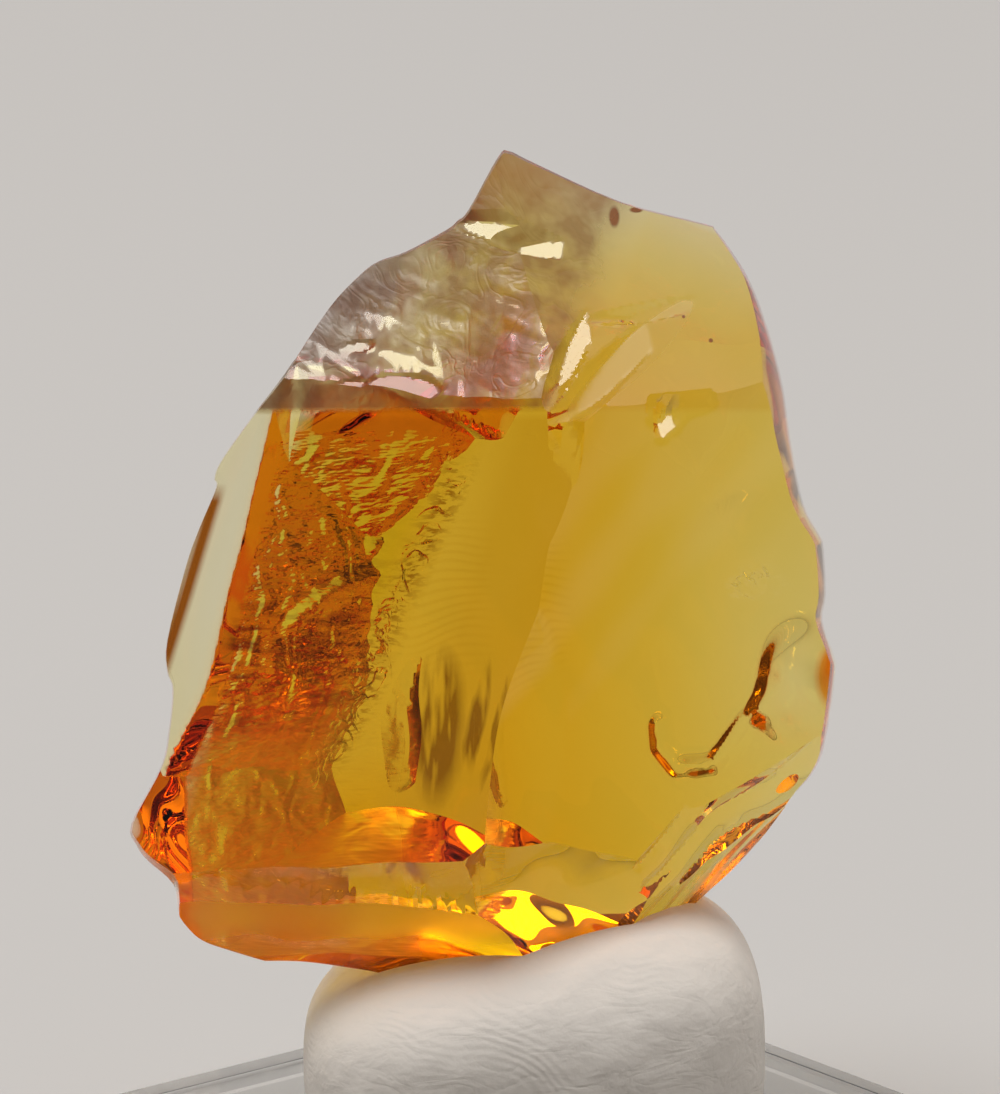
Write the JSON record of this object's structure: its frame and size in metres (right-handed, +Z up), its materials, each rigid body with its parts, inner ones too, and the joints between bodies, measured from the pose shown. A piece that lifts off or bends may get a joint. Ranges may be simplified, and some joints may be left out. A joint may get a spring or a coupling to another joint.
{
  "type": "andara crystal on putty stand",
  "caption": "Broken lump of clear golden glass with curved facets, seated upright in a pad of white putty on a thin clear square plate.",
  "frame": {"origin": "centre of the acrylic plate's underside, on the surface the part stands on", "axes": "+Z up, -Y towards the viewer of the crystal's broad face, +X to that viewer's right"},
  "size_m": [0.0704, 0.0704, 0.057],
  "materials": {
    "golden_glass": "clear broken glass, deep orange where thick and pale yellow where thin, frosted on one shoulder",
    "white_putty": "matt warm white putty pressed by fingers",
    "clear_acrylic": "clear acrylic with polished faces and faintly warm edges"
  },
  "bodies": {
    "root": {"crystal": "golden_glass", "putty": "white_putty", "acrylic_plate": "clear_acrylic"}
  },
  "joints": []
}
